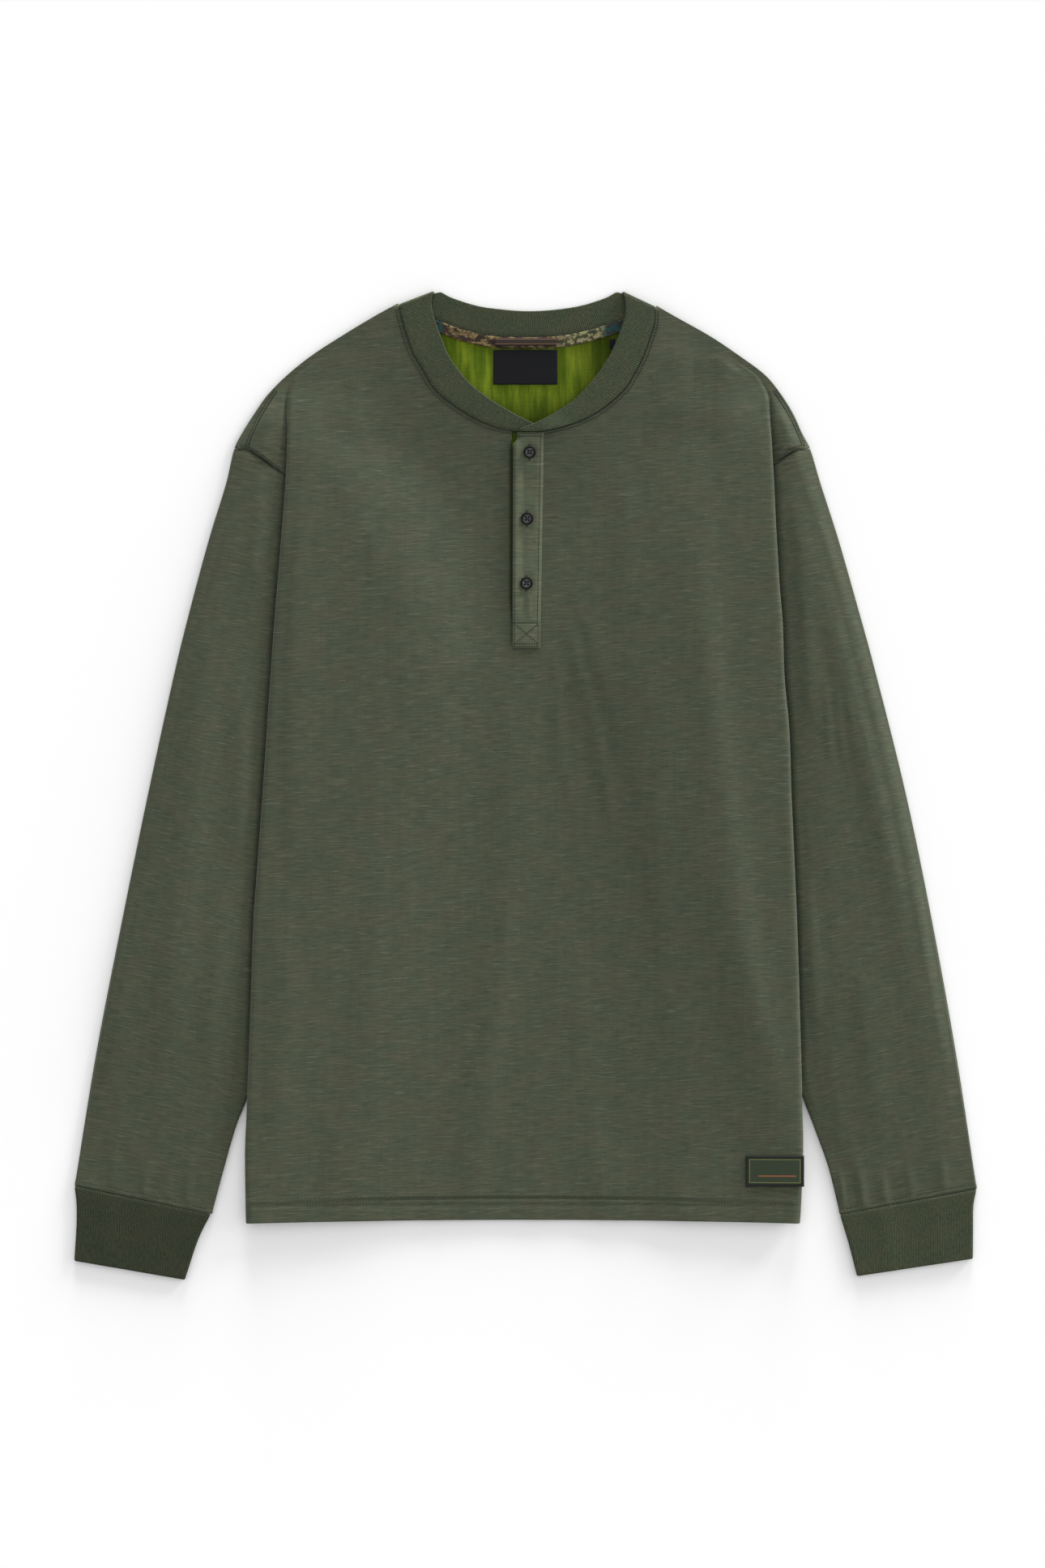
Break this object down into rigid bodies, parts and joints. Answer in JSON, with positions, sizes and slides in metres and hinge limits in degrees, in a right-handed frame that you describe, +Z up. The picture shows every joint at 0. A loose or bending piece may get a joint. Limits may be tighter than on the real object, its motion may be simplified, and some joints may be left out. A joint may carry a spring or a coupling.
{
  "type": "henley shirt",
  "caption": "Long-sleeved henley shirt with a rib collar and cuffs and a buttoned placket, laid flat on its back with its sides folded under.",
  "frame": {"origin": "centre of the laid-out shirt's footprint, on the surface that it lies on", "axes": "+Z up from the surface, +Y from the hem to the collar, +X towards the side of the wearer's left sleeve"},
  "size_m": [0.7016, 0.768, 0.0113],
  "materials": {
    "jersey": "olive green garment-dyed slub jersey, matt",
    "rib": "olive green fine rib knit, matt",
    "inside": "lime green inner face of the jersey, matt",
    "tape": "woven tape with a blotched print",
    "label": "black woven label, bare",
    "patch": "dark green woven patch, bare inside its frame lines",
    "button": "dark grey, satin, four holes"
  },
  "bodies": {
    "root": {"front": "jersey", "back": "jersey", "sleeve_left": "jersey", "sleeve_right": "jersey", "cuff_left": "rib", "cuff_right": "rib", "collar": "rib", "placket_flap": "jersey", "placket_underlay": "inside", "button_1": "button", "button_2": "button", "button_3": "button", "neck_tape": "tape", "strip_label": "label", "neck_label": "label", "size_tab": "label", "hem_patch": "patch"}
  },
  "joints": []
}
